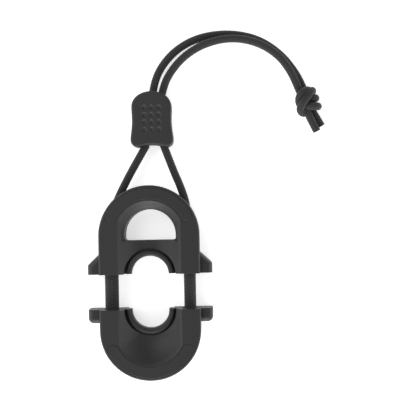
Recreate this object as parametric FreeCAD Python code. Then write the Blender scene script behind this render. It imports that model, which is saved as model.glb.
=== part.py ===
import FreeCAD, Part
import math
import os
from FreeCAD import Vector

# Strap button clamp: two plastic halves that close round the neck of a strap
# button, drawn together by one braided cord with a cord slider on it.
# X is across the clamp, Y runs from the lower half to the slider, Z is up
# out of the front face.  Millimetres.  The shapes are drawn from the point where
# the upper half's mating plane meets its neck axis; ORIGIN_Y then moves them all
# so that the origin is midway along the two halves, on the rear face plane.

# The two halves
THICKNESS = 9.5
HALF_WIDTH = 15.0
EDGE_ROUND = 0.55
UPPER_LEG = 11.4
LOWER_LEG = 6.1
GAP = 10.5
ORIGIN_Y = (GAP + LOWER_LEG - UPPER_LEG) / 2.0

# Neck notch, a part in each body, with its rounded collar.  Its axis lies a little
# below the upper mating face, so both parts share one axis when the halves close
NECK_RADIUS = 5.55
NECK_DROP = 0.25
COLLAR_OUTER = 7.3
COLLAR_BOTTOM = 2.6
COLLAR_TOP = 6.5
COLLAR_ROUND = 0.7
GROOVE_WIDTH = 0.45
GROOVE_FLOOR = 5.35
SEAT_RADIUS = 6.9

# Front recesses: a sloping lip, then a broad bowl down to the web round the collar
RECESS_HALF_WIDTH = 9.4
RECESS_RADIUS = 10.4
LIP_WIDTH = 0.6
LIP_DEPTH = 0.35
WEB_FRONT = 5.7
DISH_SECTIONS = 5
DISH_HALF_WIDTH = 1.5
DISH_RADIUS = 1.6
DISH_START = 70.0

# D-shaped finger window in the upper half
WINDOW_X = 0.25
WINDOW_RADIUS = 7.65
WINDOW_CENTRE_Y = 11.6
WINDOW_BOTTOM_Y = 10.0
WINDOW_CORNER = 0.8
# Flare of its front rim: (how far out, level)
WINDOW_FLARE = [(0.0, 6.8), (0.18, 7.6), (0.8, 8.6)]

# Curved covers let into the front of each half
COVER_CENTRE_RADIUS = 12.5
COVER_HALF_WIDTH = 1.72
COVER_CLEARANCE = 0.05
COVER_DEPTH = 1.2
COVER_PROUD = 0.12
COVER_ROUND = 0.2
COVER_END_ANGLE = 28.0

# Side ears that the fingers push on
EAR_REACH = 18.65
EAR_BOTTOM = 0.0
EAR_TOP = 7.0
EAR_FRONT_ROUND = 1.5
EAR_ROUND = 0.5
UPPER_EAR_FLAT = 2.85
UPPER_EAR_HEIGHT = 6.35
LOWER_EAR_HEIGHT = 4.1
UPPER_EAR_CORNER = 0.6
LOWER_EAR_CORNER = 1.6

# Cord and its passages
CORD_RADIUS = 1.2
CORD_LEVEL = THICKNESS / 2.0
LEG_X = 11.7
LEFT_LEG_X = -11.6
RIGHT_LEG_X = 11.85
LEG_BORE_RADIUS = 2.4
LEG_BORE_DEPTH = 14.0
LEG_REACH = 3.0
LEG_BROAD = 4.2
LEG_NARROW = 3.65
FEED_BORE_RADIUS = 1.75
LEFT_EXIT = (-9.3, 22.9)
RIGHT_EXIT = (10.8, 21.9)
FEED_BEND = (11.2, 17.2)
LOOP_CORD_RADIUS = 1.6
LOOP_CHANNEL_RADIUS = 1.7

# Cord slider
SLIDER_X = 1.3
SLIDER_Y = 37.9
SLIDER_THICKNESS = 6.5
SLIDER_ROUND = 0.6
SLIDER_HEIGHT = 16.75
SLOT_LEVEL = 3.2
SLOT_HEIGHT = 2.8
GRIP_COLUMNS = 3
GRIP_ROWS = 4
GRIP_PITCH = 2.2
GRIP_DIMPLE_RADIUS = 1.1
GRIP_DIMPLE_DEPTH = 0.3
GRIP_CENTRE_Y = 8.6
# Right side of its outline, from the middle of the top to the middle of the foot
SLIDER_SIDE = [
    (0.0, SLIDER_HEIGHT), (3.1, 16.1), (5.0, 14.75), (5.85, 13.2), (6.0, 11.4),
    (5.9, 9.2), (5.9, 7.0), (6.15, 4.7), (6.38, 2.8), (6.1, 1.0), (4.9, 0.1),
    (3.1, 0.3), (0.0, 0.75),
]

# Knot
KNOT_CENTRE = (48.5, 51.0, 3.2)
KNOT_SEMI_AXES = (4.0, 5.0, 3.2)
KNOT_TURN = 12.0

UPPER_CENTRE_Y = UPPER_LEG
LOWER_FACE_Y = -GAP
LOWER_CENTRE_Y = -GAP - LOWER_LEG

# Routes of the free cord, millimetres
FEED_LEFT = [
    (-11.7, 14.6, 4.75), (-11.0, 18.2, 4.75), (-9.2, 22.9, 4.6),
    (-7.1, 27.1, 4.2), (-4.7, 31.6, 3.7), (-0.5, 38.7, 3.2),
]
FEED_RIGHT = [
    (11.7, 14.6, 4.75), (11.5, 18.0, 4.75), (10.9, 21.8, 4.65),
    (9.4, 26.3, 4.3), (7.3, 31.2, 3.7), (4.6, 38.7, 3.2),
]
TAIL_OUTER = [
    (1.2, 50.6, 3.2), (1.75, 55.9, 3.15), (3.9, 62.0, 1.55), (8.8, 67.6, 1.2),
    (15.9, 71.3, 1.2), (25.0, 72.35, 1.2), (33.7, 70.55, 1.2),
    (40.6, 65.85, 1.2), (45.3, 59.7, 1.25), (47.5, 54.6, 1.6),
]
TAIL_INNER = [
    (3.7, 50.4, 3.2), (4.75, 56.1, 3.1), (7.3, 61.0, 2.6), (11.5, 65.6, 2.7),
    (17.6, 69.1, 2.95), (25.3, 70.7, 3.2), (33.1, 69.35, 3.4),
    (39.6, 65.45, 3.45), (43.6, 60.0, 3.4), (45.8, 54.6, 3.5),
]
END_OUTER = [(47.5, 50.6, 3.6), (49.1, 46.5, 3.3), (51.0, 41.8, 2.9)]
END_INNER = [(49.8, 50.6, 1.7), (51.2, 47.2, 1.3), (52.9, 43.2, 1.2)]


def prism(points, bottom, top):
    """Extrude a closed polygon of (x, y) points from bottom to top."""
    corners = [Vector(x, y, bottom) for x, y in points]
    face = Part.Face(Part.makePolygon(corners + corners[:1]))
    return face.extrude(Vector(0, 0, top - bottom))


def extrude_edges(edges, bottom, top):
    """Extrude a closed chain of edges drawn at z = bottom."""
    wire = Part.Wire(Part.__sortEdges__(edges))
    return Part.Face(wire).extrude(Vector(0, 0, top - bottom))


def line(start, end):
    return Part.LineSegment(start, end).toShape()


def arc(start, middle, end):
    return Part.Arc(start, middle, end).toShape()


def arch_outline(half_width, radius, centre_y, face_y, level, side):
    """U outline: straight legs from face_y and an arc; side is +1 up, -1 down.

    The arc is a full half circle when radius equals half_width, and is cut
    by the legs when it is larger."""
    rise = math.sqrt(max(radius ** 2 - half_width ** 2, 0.0))
    shoulder = centre_y + side * rise
    left_foot = Vector(-half_width, face_y, level)
    left_top = Vector(-half_width, shoulder, level)
    crown = Vector(0, centre_y + side * radius, level)
    right_top = Vector(half_width, shoulder, level)
    right_foot = Vector(half_width, face_y, level)
    return Part.Wire([
        line(left_foot, left_top), arc(left_top, crown, right_top),
        line(right_top, right_foot), line(right_foot, left_foot),
    ])


def arch_block(half_width, radius, centre_y, face_y, bottom, top, side):
    wire = arch_outline(half_width, radius, centre_y, face_y, bottom, side)
    return Part.Face(wire).extrude(Vector(0, 0, top - bottom))


def cylinder_z(radius, x, y, bottom, top):
    return Part.makeCylinder(radius, top - bottom, Vector(x, y, bottom))


def fillet_where(shape, radius, wanted):
    """Round the edges for which wanted(edge) is true."""
    edges = [edge for edge in shape.Edges if wanted(edge)]
    return shape.makeFillet(radius, edges)


def edge_box(edge):
    box = edge.BoundBox
    return box.XMin, box.YMin, box.ZMin, box.XMax, box.YMax, box.ZMax


def flat_at(edge, level):
    low, high = edge.BoundBox.ZMin, edge.BoundBox.ZMax
    return abs(low - level) < 0.01 and abs(high - level) < 0.01


def shell_block(centre_y, face_y, side):
    """The plain U-shaped block of one half, its rim edges rounded."""
    block = arch_block(HALF_WIDTH, HALF_WIDTH, centre_y, face_y, 0, THICKNESS, side)

    def on_rim(edge):
        on_face = abs(edge.BoundBox.YMin - face_y) < 0.01 and abs(edge.BoundBox.YMax - face_y) < 0.01
        return not on_face and (flat_at(edge, 0) or flat_at(edge, THICKNESS))

    return fillet_where(block, EDGE_ROUND, on_rim)


def lip(centre_y, face_y, side):
    """Slope that runs from the recess outline on the front face inwards."""
    foot = face_y - side * 2.0
    sections = []
    for steps in (-1, 1):
        width = RECESS_HALF_WIDTH - steps * LIP_WIDTH
        radius = RECESS_RADIUS - steps * LIP_WIDTH
        level = THICKNESS - steps * LIP_DEPTH
        sections.append(arch_outline(width, radius, centre_y, foot, level, side))
    return Part.makeLoft(sections, True, True)


def dish(centre_y, face_y, side):
    """Broad bowl from the lip's inner outline down to the web.

    The wall follows an ellipse from the start angle to flat; the nearer the
    start is to 90, the less steep the wall is at its rim."""
    rim = THICKNESS - LIP_DEPTH
    outer_width = RECESS_HALF_WIDTH - LIP_WIDTH
    outer_radius = RECESS_RADIUS - LIP_WIDTH
    first = math.radians(DISH_START)
    sections = []
    for index in range(DISH_SECTIONS):
        angle = first + (math.pi / 2.0 - first) * index / (DISH_SECTIONS - 1)
        inset = 1.0 - math.cos(angle) / math.cos(first)
        drop = (math.sin(angle) - math.sin(first)) / (1.0 - math.sin(first))
        level = rim + (WEB_FRONT - rim) * drop
        width = outer_width + (DISH_HALF_WIDTH - outer_width) * inset
        radius = outer_radius + (DISH_RADIUS - outer_radius) * inset
        foot = face_y - side * 2.0
        sections.append(arch_outline(width, radius, centre_y, foot, level, side))
    return Part.makeLoft(sections, True, False)


def half_ring(face_y, side):
    """Rounded collar bead round the neck notch."""
    axis_y = face_y - NECK_DROP
    outer = cylinder_z(COLLAR_OUTER, 0, axis_y, COLLAR_BOTTOM, COLLAR_TOP)
    ring = outer.cut(cylinder_z(NECK_RADIUS, 0, axis_y, 0, THICKNESS))
    ring = fillet_where(ring, COLLAR_ROUND, lambda edge: edge.Length > NECK_RADIUS * 6.0)
    reach = HALF_WIDTH
    y_low = face_y if side > 0 else face_y - reach
    keep = Part.makeBox(2 * reach, reach, THICKNESS, Vector(-reach, y_low, 0))
    return ring.common(keep)


def collar_cuts(face_y):
    """Groove outside the collar, clearance inside it and the rear seat."""
    axis_y = face_y - NECK_DROP
    groove = cylinder_z(COLLAR_OUTER + GROOVE_WIDTH, 0, axis_y, GROOVE_FLOOR, THICKNESS + 1)
    clearance = cylinder_z(NECK_RADIUS + 0.8, 0, axis_y, -1, THICKNESS + 1)
    seat = cylinder_z(SEAT_RADIUS, 0, axis_y, -1, COLLAR_BOTTOM)
    return [groove, clearance, seat]


def band(centre_y, side, half_width, bottom, top):
    """Curved band with round ends, on the arch's centre line."""
    inner = COVER_CENTRE_RADIUS - half_width
    outer = COVER_CENTRE_RADIUS + half_width
    angle = math.radians(COVER_END_ANGLE)

    def at(radius, turn):
        x = radius * math.cos(turn)
        y = centre_y + side * radius * math.sin(turn)
        return Vector(x, y, bottom)

    def cap(turn, outward):
        middle = at(COVER_CENTRE_RADIUS, turn)
        tip_x = middle.x + half_width * math.sin(turn) * outward
        tip_y = middle.y - side * half_width * math.cos(turn) * outward
        return arc(at(inner, turn), Vector(tip_x, tip_y, bottom), at(outer, turn))

    far = math.pi - angle
    edges = [
        arc(at(outer, angle), at(outer, math.pi / 2), at(outer, far)), cap(far, -1),
        arc(at(inner, far), at(inner, math.pi / 2), at(inner, angle)), cap(angle, 1),
    ]
    return extrude_edges(edges, bottom, top)


def cover(centre_y, side):
    """Curved cover, its front edges softened."""
    floor = THICKNESS - COVER_DEPTH
    top = THICKNESS + COVER_PROUD
    plate = band(centre_y, side, COVER_HALF_WIDTH, floor, top)
    return fillet_where(plate, COVER_ROUND, lambda edge: flat_at(edge, top))


def cover_pocket(centre_y, side):
    floor = THICKNESS - COVER_DEPTH
    return band(centre_y, side, COVER_HALF_WIDTH + COVER_CLEARANCE, floor, THICKNESS + 1.0)


def rounded_ear(points, face_y, corner):
    """Ear from its outline: broad round at the front, small one at the rear.

    The outline's outer corners away from the mating face are rounded by
    corner first."""
    ear = prism(points, EAR_BOTTOM, EAR_TOP)

    def outside(edge):
        x_low, y_low, z_low, x_high, y_high, z_high = edge_box(edge)
        on_face = abs(y_low - face_y) < 0.01 and abs(y_high - face_y) < 0.01
        return max(abs(x_low), abs(x_high)) > HALF_WIDTH + 0.5 and not on_face

    def upright(edge):
        return edge.BoundBox.ZLength > 1.0 and outside(edge)

    ear = fillet_where(ear, corner, upright)
    ear = fillet_where(ear, EAR_FRONT_ROUND, lambda edge: flat_at(edge, EAR_TOP) and outside(edge))
    return fillet_where(ear, EAR_ROUND, lambda edge: flat_at(edge, EAR_BOTTOM) and outside(edge))


def upper_ear(sign):
    """Ear with a flat side and a ramp up to the body."""
    root = HALF_WIDTH - 1.0
    points = [
        (sign * root, 0), (sign * EAR_REACH, 0), (sign * EAR_REACH, UPPER_EAR_FLAT),
        (sign * (HALF_WIDTH - 0.1), UPPER_EAR_HEIGHT), (sign * root, UPPER_EAR_HEIGHT),
    ]
    return rounded_ear(points, 0, UPPER_EAR_CORNER)


def lower_ear(sign):
    """Short ear with a round lower corner."""
    root = HALF_WIDTH - 1.0
    top = LOWER_FACE_Y
    low = top - LOWER_EAR_HEIGHT
    points = [
        (sign * root, top), (sign * EAR_REACH, top),
        (sign * EAR_REACH, low), (sign * root, low),
    ]
    return rounded_ear(points, top, LOWER_EAR_CORNER)


def bore_between(start, end, radius):
    direction = Vector(*end) - Vector(*start)
    return Part.makeCylinder(radius, direction.Length, Vector(*start), direction)


def feed_bore(sign, exit_point):
    """Passage from the leg bore to the outside of the arch."""
    bend = (sign * FEED_BEND[0], FEED_BEND[1], CORD_LEVEL)
    low = (sign * LEG_X, LEG_BORE_DEPTH - 0.5, CORD_LEVEL)
    exit_x, exit_y = exit_point
    stretch = 1.6
    far = (bend[0] + (exit_x - bend[0]) * stretch,
           bend[1] + (exit_y - bend[1]) * stretch, CORD_LEVEL)
    joint = Part.makeSphere(FEED_BORE_RADIUS, Vector(*bend))
    return [bore_between(low, bend, FEED_BORE_RADIUS), joint,
            bore_between(bend, far, FEED_BORE_RADIUS)]


def leg_bore(sign, start_y, end_y):
    start = (sign * LEG_X, start_y, CORD_LEVEL)
    end = (sign * LEG_X, end_y, CORD_LEVEL)
    return bore_between(start, end, LEG_BORE_RADIUS)


def window_tool():
    """D-shaped prism with rounded lower corners."""
    wire = arch_outline(WINDOW_RADIUS, WINDOW_RADIUS, WINDOW_CENTRE_Y, WINDOW_BOTTOM_Y, -1.0, 1)
    tool = Part.Face(wire).extrude(Vector(0, 0, THICKNESS + 2.0))

    def corner(edge):
        x_low, y_low, z_low, x_high, y_high, z_high = edge_box(edge)
        return z_high - z_low > 1.0 and y_high < WINDOW_BOTTOM_Y + 0.01

    return fillet_where(tool, WINDOW_CORNER, corner)


def window_flare():
    """Cut that opens the front rim of the window out to the bowl."""
    sections = []
    for out, level in WINDOW_FLARE:
        radius = WINDOW_RADIUS + out
        foot = WINDOW_BOTTOM_Y - out / 2.0
        sections.append(arch_outline(radius, radius, WINDOW_CENTRE_Y, foot, level, 1))
    return Part.makeLoft(sections, True, False)


def make_upper_body():
    body = shell_block(UPPER_CENTRE_Y, 0, 1)
    body = body.fuse([upper_ear(1), upper_ear(-1)])
    body = body.cut([lip(UPPER_CENTRE_Y, 0, 1), dish(UPPER_CENTRE_Y, 0, 1)])
    body = body.cut(collar_cuts(0))
    window = [window_tool(), window_flare()]
    for tool in window:
        tool.translate(Vector(WINDOW_X, 0, 0))
    body = body.cut(window)
    body = body.fuse(half_ring(0, 1))
    cuts = [cover_pocket(UPPER_CENTRE_Y, 1)]
    cuts += [leg_bore(1, -1, LEG_BORE_DEPTH), leg_bore(-1, -1, LEG_BORE_DEPTH)]
    cuts += feed_bore(-1, LEFT_EXIT) + feed_bore(1, RIGHT_EXIT)
    return body.cut(cuts).removeSplitter()


def loop_channel(radius):
    """Half torus that the cord lies in round the end of the lower half."""
    ring = Part.makeTorus(LEG_X, radius, Vector(0, LOWER_CENTRE_Y, CORD_LEVEL))
    reach = HALF_WIDTH + 1.0
    keep = Part.makeBox(2 * reach, reach, THICKNESS, Vector(-reach, LOWER_CENTRE_Y - reach, 0))
    return ring.common(keep)


def make_lower_body():
    body = shell_block(LOWER_CENTRE_Y, LOWER_FACE_Y, -1)
    body = body.fuse([lower_ear(1), lower_ear(-1)])
    bowl = dish(LOWER_CENTRE_Y, LOWER_FACE_Y, -1)
    body = body.cut([lip(LOWER_CENTRE_Y, LOWER_FACE_Y, -1), bowl])
    body = body.cut(collar_cuts(LOWER_FACE_Y))
    body = body.fuse(half_ring(LOWER_FACE_Y, -1))
    cuts = [cover_pocket(LOWER_CENTRE_Y, -1), loop_channel(LOOP_CHANNEL_RADIUS)]
    start, end = LOWER_FACE_Y + 1.0, LOWER_CENTRE_Y
    cuts += [leg_bore(1, start, end), leg_bore(-1, start, end)]
    return body.cut(cuts).removeSplitter()


def oval_bar(x, width, height, start_y, end_y):
    """Straight bar of oval section along Y."""
    if width >= height:
        ellipse = Part.Ellipse(Vector(0, 0, 0), width / 2.0, height / 2.0)
        face = Part.Face(Part.Wire(ellipse.toShape()))
    else:
        ellipse = Part.Ellipse(Vector(0, 0, 0), height / 2.0, width / 2.0)
        face = Part.Face(Part.Wire(ellipse.toShape()))
        face.rotate(Vector(0, 0, 0), Vector(0, 0, 1), 90)
    face.rotate(Vector(0, 0, 0), Vector(1, 0, 0), 90)
    face.translate(Vector(x, start_y, CORD_LEVEL))
    return face.extrude(Vector(0, end_y - start_y, 0))


def slider_outline():
    """One smooth closed curve: domed top, waist, flared foot."""
    right = SLIDER_SIDE
    left = [(-x, y) for x, y in reversed(right[1:-1])]
    points = [Vector(SLIDER_X + x, SLIDER_Y + y, 0) for x, y in right + left]
    curve = Part.BSplineCurve()
    curve.interpolate(points, PeriodicFlag=True)
    return curve.toShape()


def grip_dimples():
    """Balls that press a grid of shallow round dimples into the front."""
    level = SLIDER_THICKNESS + GRIP_DIMPLE_RADIUS - GRIP_DIMPLE_DEPTH
    balls = []
    for column in range(GRIP_COLUMNS):
        for row in range(GRIP_ROWS):
            x = SLIDER_X + (column - (GRIP_COLUMNS - 1) / 2.0) * GRIP_PITCH
            y = SLIDER_Y + GRIP_CENTRE_Y + (row - (GRIP_ROWS - 1) / 2.0) * GRIP_PITCH
            balls.append(Part.makeSphere(GRIP_DIMPLE_RADIUS, Vector(x, y, level)))
    return balls


def make_slider():
    body = Part.Face(Part.Wire(slider_outline())).extrude(Vector(0, 0, SLIDER_THICKNESS))
    body = fillet_where(body, SLIDER_ROUND, lambda edge: edge.BoundBox.ZLength < 0.01)
    low = SLIDER_Y - 1.0
    high = SLIDER_Y + SLIDER_HEIGHT + 1.0
    points = [
        (SLIDER_X - 4.1, low), (SLIDER_X + 5.0, low),
        (SLIDER_X + 4.9, high), (SLIDER_X - 1.4, high),
    ]
    half = SLOT_HEIGHT / 2.0
    body = body.cut(prism(points, SLOT_LEVEL - half, SLOT_LEVEL + half))
    return body.cut(grip_dimples())


def route_wire(points, name):
    """Straight runs joined by tangent arcs as large as the runs allow."""
    corners = [Vector(*point) for point in points]
    edges = []
    here = corners[0]
    radii = []
    for before, corner, after in zip(corners, corners[1:], corners[2:]):
        back = (before - corner).normalize()
        on = (after - corner).normalize()
        shorter = min((before - corner).Length, (after - corner).Length)
        turn = math.pi - back.getAngle(on)
        reach = 0.45 * shorter
        radius = reach / math.tan(turn / 2.0)
        start = corner + back * reach
        end = corner + on * reach
        bisector = (back + on).normalize()
        middle = corner + bisector * (radius / math.cos(turn / 2.0) - radius)
        edges += [line(here, start), arc(start, middle, end)]
        here = end
        radii.append(round(radius, 1))
    edges.append(line(here, corners[-1]))
    print(name, "bend radii", radii)
    return Part.Wire(edges)


def tube(points, radius, name):
    path = route_wire(points, name)
    start = Vector(*points[0])
    direction = (Vector(*points[1]) - start).normalize()
    section = Part.Wire(Part.Circle(start, direction, radius).toShape())
    solid = path.makePipeShell([section], True, False)
    ratio = solid.Volume / (math.pi * radius ** 2 * path.Length)
    print(name, "length", round(path.Length, 1), "volume ratio", round(ratio, 4))
    return solid


def make_knot():
    """Closed outer shape of the two-strand knot."""
    ball = Part.makeSphere(1.0)
    matrix = FreeCAD.Matrix()
    matrix.scale(*KNOT_SEMI_AXES)
    knot = ball.transformGeometry(matrix)
    knot.rotate(Vector(0, 0, 0), Vector(0, 0, 1), KNOT_TURN)
    knot.translate(Vector(*KNOT_CENTRE))
    return knot


def save(shape, node):
    solids = shape.Solids
    print(node, "solids", len(solids), "valid", shape.isValid(), "volume", round(shape.Volume, 1))
    if len(solids) == 1:
        shape = solids[0]
    shape.translate(Vector(0, ORIGIN_Y, 0))
    shape.exportStep("parts/" + node + ".step")


def main():
    os.makedirs("parts", exist_ok=True)
    save(make_upper_body(), "upper_body")
    save(cover(UPPER_CENTRE_Y, 1), "upper_arc_cover")
    save(make_lower_body(), "lower_body")
    save(cover(LOWER_CENTRE_Y, -1), "lower_arc_cover")
    save(oval_bar(LEFT_LEG_X, LEG_BROAD, LEG_NARROW, LOWER_CENTRE_Y, LEG_REACH), "cord_leg_left")
    save(oval_bar(RIGHT_LEG_X, LEG_NARROW, LEG_BROAD, LOWER_CENTRE_Y, LEG_REACH), "cord_leg_right")
    save(loop_channel(LOOP_CORD_RADIUS), "cord_loop")
    save(tube(FEED_LEFT, CORD_RADIUS, "feed left"), "cord_feed_left")
    save(tube(FEED_RIGHT, CORD_RADIUS, "feed right"), "cord_feed_right")
    save(make_slider(), "cord_slider")
    save(tube(TAIL_OUTER, CORD_RADIUS, "tail outer"), "cord_tail_outer")
    save(tube(TAIL_INNER, CORD_RADIUS, "tail inner"), "cord_tail_inner")
    save(make_knot(), "cord_knot")
    save(tube(END_OUTER, CORD_RADIUS, "end outer"), "cord_end_outer")
    save(tube(END_INNER, CORD_RADIUS, "end inner"), "cord_end_inner")


main()
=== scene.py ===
import math

import bmesh
import bpy
import numpy as np
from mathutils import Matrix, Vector


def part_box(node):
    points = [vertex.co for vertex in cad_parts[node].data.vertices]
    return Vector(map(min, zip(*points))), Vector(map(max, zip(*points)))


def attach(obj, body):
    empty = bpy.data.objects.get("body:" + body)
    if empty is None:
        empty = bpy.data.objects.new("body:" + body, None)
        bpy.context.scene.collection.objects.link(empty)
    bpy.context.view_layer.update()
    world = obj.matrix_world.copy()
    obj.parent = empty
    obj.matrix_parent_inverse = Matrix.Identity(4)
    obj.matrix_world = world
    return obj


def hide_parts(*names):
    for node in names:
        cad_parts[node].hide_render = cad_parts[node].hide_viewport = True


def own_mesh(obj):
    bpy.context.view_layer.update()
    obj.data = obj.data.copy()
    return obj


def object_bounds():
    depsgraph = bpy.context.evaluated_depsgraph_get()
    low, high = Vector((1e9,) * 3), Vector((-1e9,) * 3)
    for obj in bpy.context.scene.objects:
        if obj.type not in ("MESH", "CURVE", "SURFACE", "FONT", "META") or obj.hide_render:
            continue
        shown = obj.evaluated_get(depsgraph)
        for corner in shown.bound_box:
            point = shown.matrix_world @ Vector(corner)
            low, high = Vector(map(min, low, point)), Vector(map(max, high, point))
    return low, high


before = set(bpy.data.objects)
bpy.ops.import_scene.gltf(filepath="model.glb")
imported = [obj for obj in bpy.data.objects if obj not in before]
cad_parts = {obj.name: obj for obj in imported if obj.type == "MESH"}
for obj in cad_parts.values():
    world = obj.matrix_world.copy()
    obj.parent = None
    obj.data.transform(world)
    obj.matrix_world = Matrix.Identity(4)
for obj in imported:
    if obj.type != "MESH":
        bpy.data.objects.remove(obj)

CAD_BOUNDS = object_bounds()

bl_info = {
    "name": "Strap Button Clamp",
    "version": (1, 0, 0),
    "blender": (4, 5, 0),
    "location": "View3D > Sidebar > Strap Clamp",
    "description": "Builds the looks of a cord-drawn strap button clamp round its frame",
    "category": "Object",
}

MM = 0.001

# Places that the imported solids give
FRONT_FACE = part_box("upper_body")[1].z

# The cord's diameter in metres
CORD_DIAMETER = 0.0024

# Fineness: samples along and around one braid diamond, the least number of steps
# between two points of a route, and the samples along a tail's path
SAMPLES_PER_DIAMOND = 6
LEAST_RESOLUTION = 4
TAIL_PATH_SAMPLES = 120

# Shading of the edges: the turns that count as sharp, how near an axis a flat face's
# normal lies, and how far the large faces decide the normals that they share
CREASE_DEGREES = 30.0
FLAT_BORDER_DEGREES = 1.0
BRAID_SHARP_DEGREES = 55.0
SQUARE_COSINE = 0.99999
FLAT_FACE_WEIGHT = 80

# Moulded grain: depth of the specks in the colour and of the rubbing in the roughness
SPECK_DEPTH = 0.35
RUB_DEPTH = 0.16

# The braid's yarn: colour, roughness and height where an effect is least, and what it adds. The
# colour shares paint shade and light into the braid, as marked below
# Painted shade in the braid's valleys, and painted light on its crowns
PAINTED_VALLEY_SHADE = 0.45
PAINTED_CROWN_LIGHT = 0.75
# Painted shade between the yarns, and the painted light that each yarn adds over it
PAINTED_GAP_SHADE = 0.85
PAINTED_YARN_LIGHT = 0.3
# Painted sheen: the diamonds whose yarn leans right are lighter than those that lean left
PAINTED_LEFT_SHADE = 0.92
PAINTED_RIGHT_SHEEN = 0.16
GAP_ROUGHNESS = 0.82
YARN_POLISH = -0.1
YARN_HEIGHT = 0.35
PILLOW_HEIGHT = 0.65

# Hidden loop: its corners as a share of the radius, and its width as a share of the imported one's
LOOP_CORNER = 0.6
LOOP_WIDTH = 0.98

# Stage, in metres: the table, the two lights, and where the camera looks down
TABLE_SIZE = 1.5
KEY_PLACE = (-0.30, 0.28, 0.60)
KEY_SIZE = 0.50
FRONT_PLACE = (-0.05, -0.62, 0.30)
FRONT_SIZE = 0.45
CAMERA_X = 0.0177
CAMERA_Y = 0.0193

# Stage colours
TABLE_COLOR = (0.93, 0.93, 0.93, 1.0)
WHITE = (1.0, 1.0, 1.0, 1.0)

# Strength of the sky: its base, how it leans with the direction, its gain to both sides
SKY_BASE = 2.0
SKY_LEAN = (0.0, -0.70, -1.85)
SKY_SIDES = 1.5

# The routes and the camera are placed from the upper half's mating plane
ORIGIN_Y = 0.0026

# Routes of the free cord, in metres
FEED_LEFT = [
    (-0.0117, 0.0146, 0.00475), (-0.0110, 0.0182, 0.00475), (-0.0092, 0.0229, 0.0046),
    (-0.0071, 0.0271, 0.0042), (-0.0047, 0.0316, 0.0037), (-0.0005, 0.0387, 0.0032),
]
FEED_RIGHT = [
    (0.0117, 0.0146, 0.00475), (0.0115, 0.0180, 0.00475), (0.0109, 0.0218, 0.00465),
    (0.0094, 0.0263, 0.0043), (0.0073, 0.0312, 0.0037), (0.0046, 0.0387, 0.0032),
]
TAIL_OUTER = [
    (0.0012, 0.0506, 0.0032), (0.00175, 0.0559, 0.00315), (0.0039, 0.0620, 0.00155),
    (0.0088, 0.0676, 0.0012), (0.0159, 0.0713, 0.0012), (0.0250, 0.07235, 0.0012),
    (0.0337, 0.07055, 0.0012), (0.0406, 0.06585, 0.0012), (0.0453, 0.0597, 0.00125),
    (0.0475, 0.0546, 0.0015), (0.0482, 0.0531, 0.0015),
]
TAIL_INNER = [
    (0.0037, 0.0504, 0.0032), (0.00475, 0.0561, 0.0031), (0.0073, 0.0610, 0.0026),
    (0.0115, 0.0656, 0.0027), (0.0176, 0.0691, 0.00295), (0.0253, 0.0707, 0.0032),
    (0.0331, 0.06935, 0.0034), (0.0396, 0.06545, 0.00345), (0.0436, 0.0600, 0.0034),
    (0.0458, 0.0546, 0.0031), (0.0465, 0.0532, 0.0028),
]
END_OUTER = [(0.0474, 0.0501, 0.0034), (0.0484, 0.0470, 0.0032), (0.0511, 0.0419, 0.0028)]
END_INNER = [(0.0491, 0.0497, 0.0016), (0.0504, 0.0474, 0.0012), (0.0527, 0.0435, 0.0012)]

# The knot's strands: four that dip under one another, and a core that fills it
KNOT_STRANDS = {
    "long_wrap": [
        (0.0500, 0.0540, 0.0014), (0.0500, 0.0543, 0.0034), (0.0491, 0.0534, 0.0050),
        (0.0475, 0.0513, 0.0056), (0.0464, 0.0497, 0.0053), (0.0459, 0.0484, 0.0045),
        (0.0466, 0.0474, 0.0034), (0.0478, 0.0475, 0.0024), (0.0491, 0.0487, 0.0016),
    ],
    "left_wrap": [
        (0.0496, 0.0539, 0.0020), (0.0484, 0.0545, 0.0040), (0.0468, 0.0535, 0.0051),
        (0.0458, 0.0523, 0.0047), (0.0457, 0.0511, 0.0038), (0.0461, 0.0498, 0.0028),
        (0.0474, 0.0492, 0.0018),
    ],
    "middle_lobe": [
        (0.0479, 0.0521, 0.0024), (0.0492, 0.0518, 0.0040), (0.0507, 0.0518, 0.0042),
        (0.0510, 0.0520, 0.0015), (0.0493, 0.0516, 0.0013),
    ],
    "lower_lobe": [
        (0.0475, 0.0493, 0.0026), (0.0484, 0.0495, 0.0046), (0.0501, 0.0493, 0.0048),
        (0.0514, 0.0493, 0.0043), (0.0517, 0.0495, 0.0014), (0.0500, 0.0498, 0.0013),
    ],
    "core": [(0.0468, 0.0530, 0.0022), (0.0486, 0.0516, 0.0021), (0.0500, 0.0502, 0.0022)],
}


class PlasticSettings(bpy.types.PropertyGroup):
    shell_color: bpy.props.FloatVectorProperty(
        name="Shell colour", description="Moulded colour of the two halves",
        subtype="COLOR", size=3, min=0.0, max=1.0, default=(0.0135, 0.0135, 0.0138))
    slider_color: bpy.props.FloatVectorProperty(
        name="Slider colour", description="Moulded colour of the cord slider",
        subtype="COLOR", size=3, min=0.0, max=1.0, default=(0.0135, 0.0135, 0.0138))
    roughness: bpy.props.FloatProperty(
        name="Roughness", description="Roughness of the moulded finish",
        subtype="FACTOR", min=0.0, max=1.0, default=0.5)
    edge_round: bpy.props.FloatProperty(
        name="Edge round", description="Softening of the moulded edges in the shading",
        subtype="DISTANCE", unit="LENGTH", min=0.0, max=0.001, default=0.16 * MM)


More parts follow.
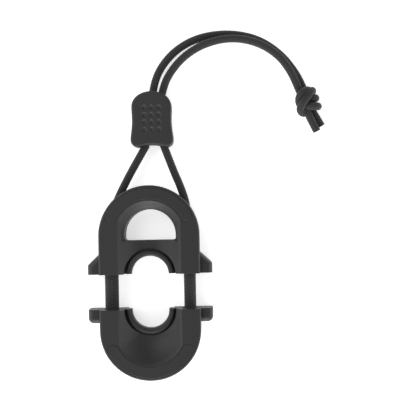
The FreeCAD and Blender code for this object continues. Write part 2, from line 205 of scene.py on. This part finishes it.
class CordSettings(bpy.types.PropertyGroup):
    diameter: bpy.props.FloatProperty(
        name="Cord diameter", description="Diameter of the round braided cord",
        subtype="DISTANCE", unit="LENGTH", min=0.001, max=0.006, default=CORD_DIAMETER)
    carriers: bpy.props.IntProperty(
        name="Carriers", description="Yarn bundles braided round the cord",
        min=8, max=32, default=16)
    diamond: bpy.props.FloatProperty(
        name="Diamond length", description="Length of one braid diamond along the cord",
        subtype="DISTANCE", unit="LENGTH", min=0.0003, max=0.004, default=0.95 * MM)
    relief: bpy.props.FloatProperty(
        name="Braid relief", description="Height of the yarn bundles over the valleys",
        subtype="DISTANCE", unit="LENGTH", min=0.0, max=0.0005, default=0.075 * MM)
    color: bpy.props.FloatVectorProperty(
        name="Cord colour", description="Dyed colour of the yarn",
        subtype="COLOR", size=3, min=0.0, max=1.0, default=(0.024, 0.024, 0.0245))


class StageSettings(bpy.types.PropertyGroup):
    camera_height: bpy.props.FloatProperty(
        name="Camera height", description="Height of the camera over the front face",
        subtype="DISTANCE", unit="LENGTH", min=0.05, max=2.0, default=0.288)
    lens: bpy.props.FloatProperty(
        name="Lens", description="Focal length on a 36 mm sensor",
        min=20.0, max=300.0, default=84.3)
    roll: bpy.props.FloatProperty(
        name="Camera roll", description="Turn of the camera about its line of sight",
        subtype="ANGLE", unit="ROTATION", default=math.radians(-1.1))
    key_power: bpy.props.FloatProperty(
        name="Key power", description="Power of the large soft key light in watts",
        min=0.0, max=100.0, default=1.3)
    front_power: bpy.props.FloatProperty(
        name="Front power", description="Power of the low front light in watts",
        min=0.0, max=100.0, default=2.6)
    table_glow: bpy.props.FloatProperty(
        name="Table glow", description="Strength of the light that the table top gives",
        min=0.0, max=2.0, default=0.58)
    sky: bpy.props.FloatProperty(
        name="Sky", description="Strength of the light from the sky",
        min=0.0, max=5.0, default=0.68)


# ---------------------------------------------------------------- node groups


def new_group(name, inputs):
    """A shader node group that gives a colour, a roughness and a height."""
    group = bpy.data.node_groups.new(name, "ShaderNodeTree")
    for socket, kind, value in inputs:
        made = group.interface.new_socket(socket, in_out="INPUT", socket_type="NodeSocket" + kind)
        made.default_value = value
    for socket, kind in (("Color", "Color"), ("Roughness", "Float"), ("Height", "Float")):
        group.interface.new_socket(socket, in_out="OUTPUT", socket_type="NodeSocket" + kind)
    start = group.nodes.new("NodeGroupInput")
    end = group.nodes.new("NodeGroupOutput")
    return group, start, end


def math_node(tree, operation, first, second=0.0, third=None):
    """A math node; each input is a socket or a number.  Returns its output."""
    node = tree.nodes.new("ShaderNodeMath")
    node.operation = operation
    for index, value in enumerate((first, second, third)):
        if value is None:
            continue
        if isinstance(value, (int, float)):
            node.inputs[index].default_value = value
        else:
            tree.links.new(value, node.inputs[index])
    return node.outputs[0]


def noise_node(tree, place, values):
    """A noise over a place, with the values given.  Returns the node."""
    node = tree.nodes.new("ShaderNodeTexNoise")
    tree.links.new(place, node.inputs["Vector"])
    for name, value in values.items():
        node.inputs[name].default_value = value
    return node


def noise_swing(tree, noise, depth):
    """How far a noise is from its middle, times a depth."""
    swing = math_node(tree, "SUBTRACT", noise.outputs["Fac"], 0.5)
    return math_node(tree, "MULTIPLY", swing, depth)


def feed_color(tree, base, gain, target):
    """Feed a base colour, times a gain, to the target socket."""
    tint = tree.nodes.new("ShaderNodeVectorMath")
    tint.operation = "SCALE"
    tree.links.new(base, tint.inputs[0])
    tree.links.new(gain, tint.inputs["Scale"])
    tree.links.new(tint.outputs[0], target)


def moulded_grain_group():
    """Fine spark-eroded grain, soft mottling and light wear for moulded plastic."""
    tree, start, end = new_group(
        "Moulded grain",
        [("Base", "Color", (0.04, 0.04, 0.04, 1.0)), ("Roughness", "Float", 0.5),
         ("Grain size", "Float", 9000.0), ("Mottle", "Float", 0.12)])
    place = tree.nodes.new("ShaderNodeTexCoord").outputs["Object"]
    stretch = tree.nodes.new("ShaderNodeMapping")
    stretch.inputs["Scale"].default_value = (1.0, 9.0, 1.0)
    stretch.inputs["Rotation"].default_value = (0.0, 0.0, 0.5)
    tree.links.new(place, stretch.inputs["Vector"])
    fine = noise_node(tree, place, {"Detail": 3.0, "Roughness": 0.65})
    tree.links.new(start.outputs["Grain size"], fine.inputs["Scale"])
    broad = noise_node(tree, place, {"Scale": 220.0, "Detail": 5.0})
    scratch = noise_node(tree, stretch.outputs["Vector"], {"Scale": 600.0})
    mottle = noise_swing(tree, broad, start.outputs["Mottle"])
    gain = math_node(tree, "ADD", mottle, noise_swing(tree, fine, SPECK_DEPTH))
    gain = math_node(tree, "ADD", gain, 1.0)
    feed_color(tree, start.outputs["Base"], gain, end.inputs["Color"])
    rubbed = noise_swing(tree, scratch, RUB_DEPTH)
    rough = math_node(tree, "ADD", start.outputs["Roughness"], rubbed)
    tree.links.new(rough, end.inputs["Roughness"])
    tree.links.new(fine.outputs["Fac"], end.inputs["Height"])
    return tree


def diamond_parity(tree, right, left):
    """1 on diamonds whose yarn leans right, 0 on those whose yarn leans left."""
    cells = math_node(tree, "ADD", math_node(tree, "FLOOR", right), math_node(tree, "FLOOR", left))
    return math_node(tree, "FLOORED_MODULO", cells, 2.0)


def yarn_lines(tree, right, left, parity, yarns):
    """From 0 between two yarns to 1 on a yarn, along the diamond's own lean."""
    rightward = math_node(tree, "MULTIPLY", right, parity)
    leftward = math_node(tree, "MULTIPLY", left, math_node(tree, "SUBTRACT", 1.0, parity))
    chosen = math_node(tree, "ADD", rightward, leftward)
    wave = math_node(tree, "MULTIPLY", chosen, yarns)
    wave = math_node(tree, "SINE", math_node(tree, "MULTIPLY", wave, 2.0 * math.pi))
    return math_node(tree, "MULTIPLY_ADD", wave, 0.5, 0.5)


def ridge(tree, lean):
    """From 0 at a diamond's borders to 1 at its middle, across one lean."""
    wave = math_node(tree, "SINE", math_node(tree, "MULTIPLY", lean, math.pi))
    return math_node(tree, "ABSOLUTE", wave)


def braid_group():
    """Yarn lines in each braid diamond, with painted shade in the valleys and between the yarns,
    painted light on the crowns and a painted sheen on the diamonds that lean right; reads the
    cord's own map in metres.
    """
    tree, start, end = new_group(
        "Braid yarn and painted shade",
        [("Base", "Color", (0.03, 0.03, 0.03, 1.0)), ("Diamond", "Float", 0.001),
         ("Half carriers", "Float", 8.0), ("Yarns", "Float", 4.0)])
    chart = tree.nodes.new("ShaderNodeUVMap")
    chart.uv_map = "cord"
    split = tree.nodes.new("ShaderNodeSeparateXYZ")
    tree.links.new(chart.outputs["UV"], split.inputs[0])
    around = math_node(tree, "MULTIPLY", split.outputs["X"], start.outputs["Half carriers"])
    along = math_node(tree, "DIVIDE", split.outputs["Y"], start.outputs["Diamond"])
    right = math_node(tree, "ADD", around, along)
    left = math_node(tree, "SUBTRACT", around, along)
    parity = diamond_parity(tree, right, left)
    yarn = yarn_lines(tree, right, left, parity, start.outputs["Yarns"])
    rise = math_node(tree, "MULTIPLY", ridge(tree, right), ridge(tree, left))
    pillow = math_node(tree, "POWER", rise, 0.5)
    # Painted shade in the valleys and painted light on the crowns of the braid diamonds
    gain = math_node(tree, "MULTIPLY_ADD", pillow, PAINTED_CROWN_LIGHT, PAINTED_VALLEY_SHADE)
    # Painted shade between the yarns
    strand = math_node(tree, "MULTIPLY_ADD", yarn, PAINTED_YARN_LIGHT, PAINTED_GAP_SHADE)
    gain = math_node(tree, "MULTIPLY", gain, strand)
    # Painted sheen: the diamonds that lean right are lighter
    side = math_node(tree, "MULTIPLY_ADD", parity, PAINTED_RIGHT_SHEEN, PAINTED_LEFT_SHADE)
    gain = math_node(tree, "MULTIPLY", gain, side)
    feed_color(tree, start.outputs["Base"], gain, end.inputs["Color"])
    rough = math_node(tree, "MULTIPLY_ADD", yarn, YARN_POLISH, GAP_ROUGHNESS)
    tree.links.new(rough, end.inputs["Roughness"])
    body = math_node(tree, "MULTIPLY", pillow, PILLOW_HEIGHT)
    height = math_node(tree, "MULTIPLY_ADD", yarn, YARN_HEIGHT, body)
    tree.links.new(height, end.inputs["Height"])
    return tree


# ------------------------------------------------------------------ materials


def new_material(name, bump_distance, bump_strength):
    """A material with a Principled shader and a bump node waiting for a height."""
    material = bpy.data.materials.new(name)
    material.use_nodes = True
    tree = material.node_tree
    tree.nodes.clear()
    surface = tree.nodes.new("ShaderNodeBsdfPrincipled")
    out = tree.nodes.new("ShaderNodeOutputMaterial")
    bump = tree.nodes.new("ShaderNodeBump")
    bump.inputs["Distance"].default_value = bump_distance
    bump.inputs["Strength"].default_value = bump_strength
    tree.links.new(surface.outputs["BSDF"], out.inputs["Surface"])
    tree.links.new(bump.outputs["Normal"], surface.inputs["Normal"])
    return material, tree, surface, bump


def place_group(tree, group, values, surface, bump):
    """Put a group in a material, with its values, feeding the surface."""
    node = tree.nodes.new("ShaderNodeGroup")
    node.node_tree = group
    for name, value in values.items():
        node.inputs[name].default_value = value
    tree.links.new(node.outputs["Color"], surface.inputs["Base Color"])
    tree.links.new(node.outputs["Roughness"], surface.inputs["Roughness"])
    tree.links.new(node.outputs["Height"], bump.inputs["Height"])


def shared_group(name, maker):
    return bpy.data.node_groups.get(name) or maker()


def plastic(name, color, look, mottle):
    """Matte moulded plastic with a fine grain and softened edges."""
    made = bpy.data.materials.get(name)
    if made:
        return made
    material, tree, surface, bump = new_material(
        name, bump_distance=0.02 * MM, bump_strength=0.35)
    values = {"Base": (*color, 1.0), "Roughness": look.roughness, "Mottle": mottle}
    place_group(tree, shared_group("Moulded grain", moulded_grain_group), values, surface, bump)
    soft_edge = tree.nodes.new("ShaderNodeBevel")
    soft_edge.samples = 6
    soft_edge.inputs["Radius"].default_value = look.edge_round
    tree.links.new(soft_edge.outputs["Normal"], bump.inputs["Normal"])
    surface.inputs["IOR"].default_value = 1.49
    surface.inputs["Specular IOR Level"].default_value = 0.5
    return material


def cut_fibres(name, color):
    """Cut end of a cord: a fused mat of fine fibre ends."""
    made = bpy.data.materials.get(name)
    if made:
        return made
    material, tree, surface, bump = new_material(
        name, bump_distance=0.06 * MM, bump_strength=0.8)
    values = {"Base": (*color, 1.0), "Roughness": 0.7, "Grain size": 5200.0, "Mottle": 0.5}
    place_group(tree, shared_group("Moulded grain", moulded_grain_group), values, surface, bump)
    surface.inputs["Specular IOR Level"].default_value = 0.25
    return material


def braided_yarn(name, color, diamond, carriers):
    """Braided polyester: diamonds of fine yarn with a soft sheen; the yarn's colour carries
    painted shade and a painted sheen.
    """
    made = bpy.data.materials.get(name)
    if made:
        return made
    material, tree, surface, bump = new_material(
        name, bump_distance=0.03 * MM, bump_strength=0.6)
    values = {"Base": (*color, 1.0), "Diamond": diamond, "Half carriers": carriers / 2.0}
    place_group(tree, shared_group("Braid yarn and painted shade", braid_group), values, surface, bump)
    surface.inputs["Specular IOR Level"].default_value = 0.3
    surface.inputs["Sheen Weight"].default_value = 0.12
    surface.inputs["Sheen Roughness"].default_value = 0.5
    return material


# --------------------------------------------------------------- mesh helpers


def new_piece(name, mesh, material, body):
    """Link a finished mesh as a piece that rides on a body."""
    piece = bpy.data.objects.new(name, mesh)
    bpy.context.scene.collection.objects.link(piece)
    mesh.materials.clear()
    mesh.materials.append(material)
    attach(piece, body)
    return piece


def smooth_by_angle(mesh, degrees):
    mesh.shade_smooth()
    mesh.set_sharp_from_angle(angle=math.radians(degrees))


def is_square(normal):
    """Whether a face lies square to one of the part's axes."""
    return max(abs(value) for value in normal) > SQUARE_COSINE


def is_crease(edge):
    """Whether an edge is sharp, or bounds one of the part's flat faces."""
    if len(edge.link_faces) != 2:
        return True
    first, second = [face.normal for face in edge.link_faces]
    turn = math.degrees(first.angle(second, 0.0))
    borders_flat = is_square(first) != is_square(second)
    return turn > CREASE_DEGREES or (turn > FLAT_BORDER_DEGREES and borders_flat)


def moulded_copy(node, name, material, body):
    """Merged copy of a packed moulding, shaded flat on its broad faces."""
    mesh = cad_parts[node].data.copy()
    mesh.name = name
    shape = bmesh.new()
    shape.from_mesh(mesh)
    bmesh.ops.remove_doubles(shape, verts=shape.verts, dist=0.001 * MM)
    for edge in shape.edges:
        edge.smooth = not is_crease(edge)
    shape.to_mesh(mesh)
    shape.free()
    piece = new_piece(name, mesh, material, body)
    flat = piece.modifiers.new("Flat faces", "WEIGHTED_NORMAL")
    flat.mode = "FACE_AREA"
    flat.weight = FLAT_FACE_WEIGHT
    flat.keep_sharp = True
    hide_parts(node)
    return piece


def route_curve(name, route, samples):
    """NURBS line of a route, with about that many samples along it."""
    curve = bpy.data.curves.new(name, "CURVE")
    curve.dimensions = "3D"
    spline = curve.splines.new("NURBS")
    spline.points.add(len(route) - 1)
    for point, place in zip(spline.points, route):
        point.co = (*place, 1.0)
    spline.order_u = 3
    spline.use_endpoint_u = True
    spline.resolution_u = max(LEAST_RESOLUTION, math.ceil(samples / max(len(route) - 2, 1)))
    return curve


def swept_mesh(name, curve):
    """The mesh that a curve gives, and the curve is then removed."""
    holder = bpy.data.objects.new(name, curve)
    mesh = bpy.data.meshes.new_from_object(holder)
    mesh.name = name
    bpy.data.objects.remove(holder)
    bpy.data.curves.remove(curve)
    return mesh


def placed(route):
    """The route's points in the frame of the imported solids."""
    return [(x, y + ORIGIN_Y, z) for x, y, z in route]


def run_length(route):
    places = [Vector(point) for point in route]
    return sum((after - before).length for before, after in zip(places, places[1:]))


def centre_line(route, samples):
    """Points along the route's own smooth line, as an array."""
    mesh = swept_mesh("line", route_curve("line", route, samples))
    points = read_places(mesh)
    bpy.data.meshes.remove(mesh)
    return points


def read_places(mesh):
    flat = np.zeros(len(mesh.vertices) * 3)
    mesh.vertices.foreach_get("co", flat)
    return flat.reshape(-1, 3)


def braid_pillow(around, along, cord):
    """Height from 0 to 1 of the braid at a share around and a length along."""
    turns = around * cord.carriers / 2.0
    right = np.sin(np.pi * (turns + along / cord.diamond))
    left = np.sin(np.pi * (turns - along / cord.diamond))
    return np.sqrt(np.abs(right * left))


def chart_cord(mesh, around, along):
    """Map the cord: share of the way round, and metres along it."""
    layer = mesh.uv_layers.new(name="cord")
    corners = np.zeros(len(mesh.loops), dtype=np.int32)
    mesh.loops.foreach_get("vertex_index", corners)
    share = around[corners]
    length = along[corners]
    half_turn = 0.5
    for face in mesh.polygons:
        span = slice(face.loop_start, face.loop_start + face.loop_total)
        if np.ptp(share[span]) > half_turn:
            share[span] = np.where(share[span] < half_turn, share[span] + 1.0, share[span])
    layer.data.foreach_set("uv", np.stack([share, length], axis=1).ravel())


def close_ends(mesh):
    """Close the tube's two open ends with cut faces of the second material."""
    shape = bmesh.new()
    shape.from_mesh(mesh)
    rims = [edge for edge in shape.edges if edge.is_boundary]
    for cap in bmesh.ops.holes_fill(shape, edges=rims, sides=0)["faces"]:
        cap.material_index = 1
    bmesh.ops.recalc_face_normals(shape, faces=shape.faces)
    shape.to_mesh(mesh)
    shape.free()


def joined_mesh(name, meshes):
    """One mesh of several, which are then removed."""
    shape = bmesh.new()
    for mesh in meshes:
        shape.from_mesh(mesh)
        bpy.data.meshes.remove(mesh)
    whole = bpy.data.meshes.new(name)
    shape.to_mesh(whole)
    shape.free()
    return whole


def braided_mesh(name, route, diameter, cord, section=(1.0, 1.0, 1.0)):
    """Tube along a route whose surface is raised into braid diamonds.

    section scales the tube about its line, for an oval cord."""
    samples = run_length(route) / cord.diamond * SAMPLES_PER_DIAMOND
    line = centre_line(route, samples)
    curve = route_curve(name, route, samples)
    curve.bevel_depth = diameter / 2.0
    # A round bevel has four points and two more for each step of its resolution
    curve.bevel_resolution = (cord.carriers // 2 * SAMPLES_PER_DIAMOND - 4) // 2
    curve.bevel_mode = "ROUND"
    mesh = swept_mesh(name, curve)
    ring = len(mesh.vertices) // len(line)
    steps = np.linalg.norm(np.diff(line, axis=0), axis=1)
    along = np.repeat(np.concatenate(([0.0], np.cumsum(steps))), ring)
    around = np.tile(np.arange(ring) / ring, len(line))
    centres = np.repeat(line, ring, axis=0)
    dip = cord.relief * (braid_pillow(around, along, cord) - 1.0) / (diameter / 2.0)
    spread = (read_places(mesh) - centres) * (1.0 + dip)[:, None] * np.array(section)
    mesh.vertices.foreach_set("co", (centres + spread).ravel())
    close_ends(mesh)
    chart_cord(mesh, around, along)
    smooth_by_angle(mesh, BRAID_SHARP_DEGREES)
    return mesh


def cord_piece(name, mesh, body, cord):
    """A braided mesh as a piece, its cut faces in a material of their own."""
    yarn = braided_yarn("Braided yarn with painted shade", cord.color, cord.diamond, cord.carriers)
    piece = new_piece(name, mesh, yarn, body)
    mesh.materials.append(cut_fibres("Cut fibres", cord.color))
    return piece


def strand_piece(node, route, body, context):
    """A round braided strand that takes the place of a packed one."""
    cord = context.scene.strapclamp_cord
    mesh = braided_mesh(node + "_braid", placed(route), cord.diameter, cord)
    piece = cord_piece(node + "_braid", mesh, body, cord)
    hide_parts(node)
    return piece


# ------------------------------------------------------------------ operators


class STRAPCLAMP_OT_shells(bpy.types.Operator):
    """Mould the upper and the lower half"""
    bl_idname = "strapclamp.shells"
    bl_label = "Clamp Halves"

    def execute(self, context):
        look = context.scene.strapclamp_plastic
        skin = plastic("Moulded shell", look.shell_color, look, 0.12)
        for node, body in (("upper_body", "upper_half"), ("lower_body", "lower_half")):
            moulded_copy(node, node + "_shell", skin, body)
        return {"FINISHED"}


class STRAPCLAMP_OT_covers(bpy.types.Operator):
    """Fit the curved cover of each half"""
    bl_idname = "strapclamp.covers"
    bl_label = "Curved Covers"

    def execute(self, context):
        look = context.scene.strapclamp_plastic
        skin = plastic("Cover plastic", look.shell_color, look, 0.08)
        for node, body in (("upper_arc_cover", "upper_half"), ("lower_arc_cover", "lower_half")):
            moulded_copy(node, node + "_plate", skin, body)
        return {"FINISHED"}


class STRAPCLAMP_OT_slider(bpy.types.Operator):
    """Mould the cord slider"""
    bl_idname = "strapclamp.slider"
    bl_label = "Cord Slider"

    def execute(self, context):
        look = context.scene.strapclamp_plastic
        skin = plastic("Slider plastic", look.slider_color, look, 0.1)
        moulded_copy("cord_slider", "cord_slider_lock", skin, "slider")
        return {"FINISHED"}


class STRAPCLAMP_OT_legs(bpy.types.Operator):
    """Braid the two cord legs between the halves"""
    bl_idname = "strapclamp.legs"
    bl_label = "Cord Legs"

    def execute(self, context):
        cord = context.scene.strapclamp_cord
        for node in ("cord_leg_left", "cord_leg_right"):
            low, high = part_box(node)
            centre = (low + high) / 2.0
            route = [(centre.x, low.y, centre.z), centre.to_tuple(), (centre.x, high.y, centre.z)]
            wide = high.x - low.x
            section = (1.0, 1.0, (high.z - low.z) / wide)
            mesh = braided_mesh(node + "_braid", route, wide, cord, section)
            piece = cord_piece(node + "_braid", mesh, "lower_half", cord)
            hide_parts(node)
        return {"FINISHED"}


class STRAPCLAMP_OT_loop(bpy.types.Operator):
    """Braid the hidden loop that joins the two legs inside the lower half"""
    bl_idname = "strapclamp.loop"
    bl_label = "Hidden Loop"

    def execute(self, context):
        cord = context.scene.strapclamp_cord
        low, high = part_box("cord_loop")
        wide = high.z - low.z
        radius = (high.x - low.x - wide) / 2.0
        level = (low.z + high.z) / 2.0
        corner = LOOP_CORNER * radius
        bottom = low.y + wide / 2.0
        route = [(-radius, high.y, level), (-radius, low.y + corner, level),
                 (-corner, bottom, level), (corner, bottom, level),
                 (radius, low.y + corner, level), (radius, high.y, level)]
        mesh = braided_mesh("cord_loop_braid", route, wide * LOOP_WIDTH, cord)
        piece = cord_piece("cord_loop_braid", mesh, "lower_half", cord)
        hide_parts("cord_loop")
        return {"FINISHED"}


class STRAPCLAMP_OT_feeds(bpy.types.Operator):
    """Braid the two strands from the upper half to the slider"""
    bl_idname = "strapclamp.feeds"
    bl_label = "Feed Strands"

    def execute(self, context):
        for node, route in (("cord_feed_left", FEED_LEFT), ("cord_feed_right", FEED_RIGHT)):
            piece = strand_piece(node, route, "upper_half", context)
            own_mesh(piece)
        return {"FINISHED"}


class STRAPCLAMP_OT_knot(bpy.types.Operator):
    """Tie the knot and its two cut ends"""
    bl_idname = "strapclamp.knot"
    bl_label = "Knot"

    def execute(self, context):
        cord = context.scene.strapclamp_cord
        meshes = []
        for name, route in KNOT_STRANDS.items():
            meshes.append(braided_mesh(name, placed(route), cord.diameter, cord))
        mesh = joined_mesh("cord_knot_wraps", meshes)
        knot = cord_piece("cord_knot_wraps", mesh, "slider", cord)
        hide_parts("cord_knot")
        strand_piece("cord_end_outer", END_OUTER, "slider", context)
        strand_piece("cord_end_inner", END_INNER, "slider", context)
        return {"FINISHED"}


class STRAPCLAMP_OT_tail(bpy.types.Operator):
    """Braid the two tail strands from the slider to the knot"""
    bl_idname = "strapclamp.tail"
    bl_label = "Tail Strands"

    def execute(self, context):
        for node, route in (("cord_tail_outer", TAIL_OUTER), ("cord_tail_inner", TAIL_INNER)):
            piece = strand_piece(node, route, "slider", context)
            line = centre_line(placed(route), TAIL_PATH_SAMPLES)
        return {"FINISHED"}


class STRAPCLAMP_OT_stage(bpy.types.Operator):
    """Lay the pale table, hang the soft lights and set the camera"""
    bl_idname = "strapclamp.stage"
    bl_label = "Stage"

    def execute(self, context):
        look = context.scene.strapclamp_stage
        lay_table(context, look)
        hang_lights(context, look)
        set_camera(context, look)
        return {"FINISHED"}


def lay_table(context, look):
    """A wide pale table top under the part, with a glow that keeps shadows faint."""
    mesh = bpy.data.meshes.new("table_top")
    shape = bmesh.new()
    bmesh.ops.create_grid(shape, x_segments=2, y_segments=2, size=TABLE_SIZE)
    shape.to_mesh(mesh)
    shape.free()
    table = bpy.data.objects.new("table_top", mesh)
    context.scene.collection.objects.link(table)
    material = bpy.data.materials.new("Table top")
    material.use_nodes = True
    surface = material.node_tree.nodes["Principled BSDF"]
    surface.inputs["Base Color"].default_value = TABLE_COLOR
    surface.inputs["Roughness"].default_value = 0.9
    surface.inputs["Specular IOR Level"].default_value = 0.0
    surface.inputs["Emission Color"].default_value = WHITE
    surface.inputs["Emission Strength"].default_value = look.table_glow
    mesh.materials.append(material)


def hang_light(context, name, place, aim, size, power):
    light = bpy.data.lights.new(name, "AREA")
    light.shape = "DISK"
    light.size = size
    light.energy = power
    lamp = bpy.data.objects.new(name, light)
    lamp.location = place
    lamp.rotation_euler = (Vector(aim) - Vector(place)).to_track_quat("-Z", "Y").to_euler()
    context.scene.collection.objects.link(lamp)


def hang_lights(context, look):
    """A key, a low front light, and a sky that is dark overhead and bright at the sides."""
    centre = ((CAD_BOUNDS[0] + CAD_BOUNDS[1]) / 2.0).to_tuple()
    hang_light(context, "key_light", KEY_PLACE, centre, KEY_SIZE, look.key_power)
    hang_light(context, "front_light", FRONT_PLACE, centre, FRONT_SIZE, look.front_power)
    context.scene.world = sky_world(look)
    context.scene.view_settings.view_transform = "Standard"


def sky_world(look):
    """A white sky whose strength leans away from overhead and grows to both sides."""
    world = bpy.data.worlds.new("Studio")
    world.use_nodes = True
    tree = world.node_tree
    sky = tree.nodes["Background"]
    place = tree.nodes.new("ShaderNodeTexCoord")
    lean = tree.nodes.new("ShaderNodeVectorMath")
    lean.operation = "DOT_PRODUCT"
    lean.inputs[1].default_value = SKY_LEAN
    tree.links.new(place.outputs["Generated"], lean.inputs[0])
    shade = math_node(tree, "ADD", lean.outputs["Value"], SKY_BASE)
    across = tree.nodes.new("ShaderNodeSeparateXYZ")
    tree.links.new(place.outputs["Generated"], across.inputs[0])
    side = math_node(tree, "MULTIPLY", across.outputs["X"], across.outputs["X"])
    shade = math_node(tree, "MULTIPLY_ADD", side, SKY_SIDES, shade)
    strength = math_node(tree, "MULTIPLY", shade, look.sky)
    tree.links.new(strength, sky.inputs["Strength"])
    sky.inputs["Color"].default_value = WHITE
    return world


def set_camera(context, look):
    """Look straight down on the middle of the whole part."""
    camera = bpy.data.cameras.new("camera")
    camera.lens = look.lens
    camera.clip_start = 0.01
    camera.clip_end = 10.0
    holder = bpy.data.objects.new("camera", camera)
    holder.location = (CAMERA_X, CAMERA_Y + ORIGIN_Y, FRONT_FACE + look.camera_height)
    holder.rotation_euler = (0.0, 0.0, look.roll)
    context.scene.collection.objects.link(holder)
    context.scene.camera = holder


class STRAPCLAMP_PT_panel(bpy.types.Panel):
    """Sizes, colours and steps of the strap button clamp"""
    bl_label = "Strap Button Clamp"
    bl_idname = "STRAPCLAMP_PT_panel"
    bl_space_type = "VIEW_3D"
    bl_region_type = "UI"
    bl_category = "Strap Clamp"

    def draw(self, context):
        layout = self.layout
        for group in SETTINGS:
            box = layout.box()
            settings = getattr(context.scene, group)
            for name in settings.bl_rna.properties.keys():
                if name not in ("rna_type", "name"):
                    box.prop(settings, name)
        for step in STEPS:
            layout.operator(step.bl_idname)


SETTINGS = {
    "strapclamp_plastic": PlasticSettings,
    "strapclamp_cord": CordSettings,
    "strapclamp_stage": StageSettings,
}
STEPS = (
    STRAPCLAMP_OT_stage, STRAPCLAMP_OT_knot, STRAPCLAMP_OT_tail, STRAPCLAMP_OT_feeds,
    STRAPCLAMP_OT_legs, STRAPCLAMP_OT_loop, STRAPCLAMP_OT_shells, STRAPCLAMP_OT_covers,
    STRAPCLAMP_OT_slider,
)


def register():
    for settings in SETTINGS.values():
        bpy.utils.register_class(settings)
    for name, settings in SETTINGS.items():
        setattr(bpy.types.Scene, name, bpy.props.PointerProperty(type=settings))
    for made in (*STEPS, STRAPCLAMP_PT_panel):
        bpy.utils.register_class(made)


def unregister():
    for made in (STRAPCLAMP_PT_panel, *reversed(STEPS)):
        bpy.utils.unregister_class(made)
    for name, settings in SETTINGS.items():
        delattr(bpy.types.Scene, name)
        bpy.utils.unregister_class(settings)


def main():
    """Build every piece in order."""
    register()
    for step in STEPS:
        area, name = step.bl_idname.split(".")
        getattr(getattr(bpy.ops, area), name)()


if __name__ == "__main__":
    main()
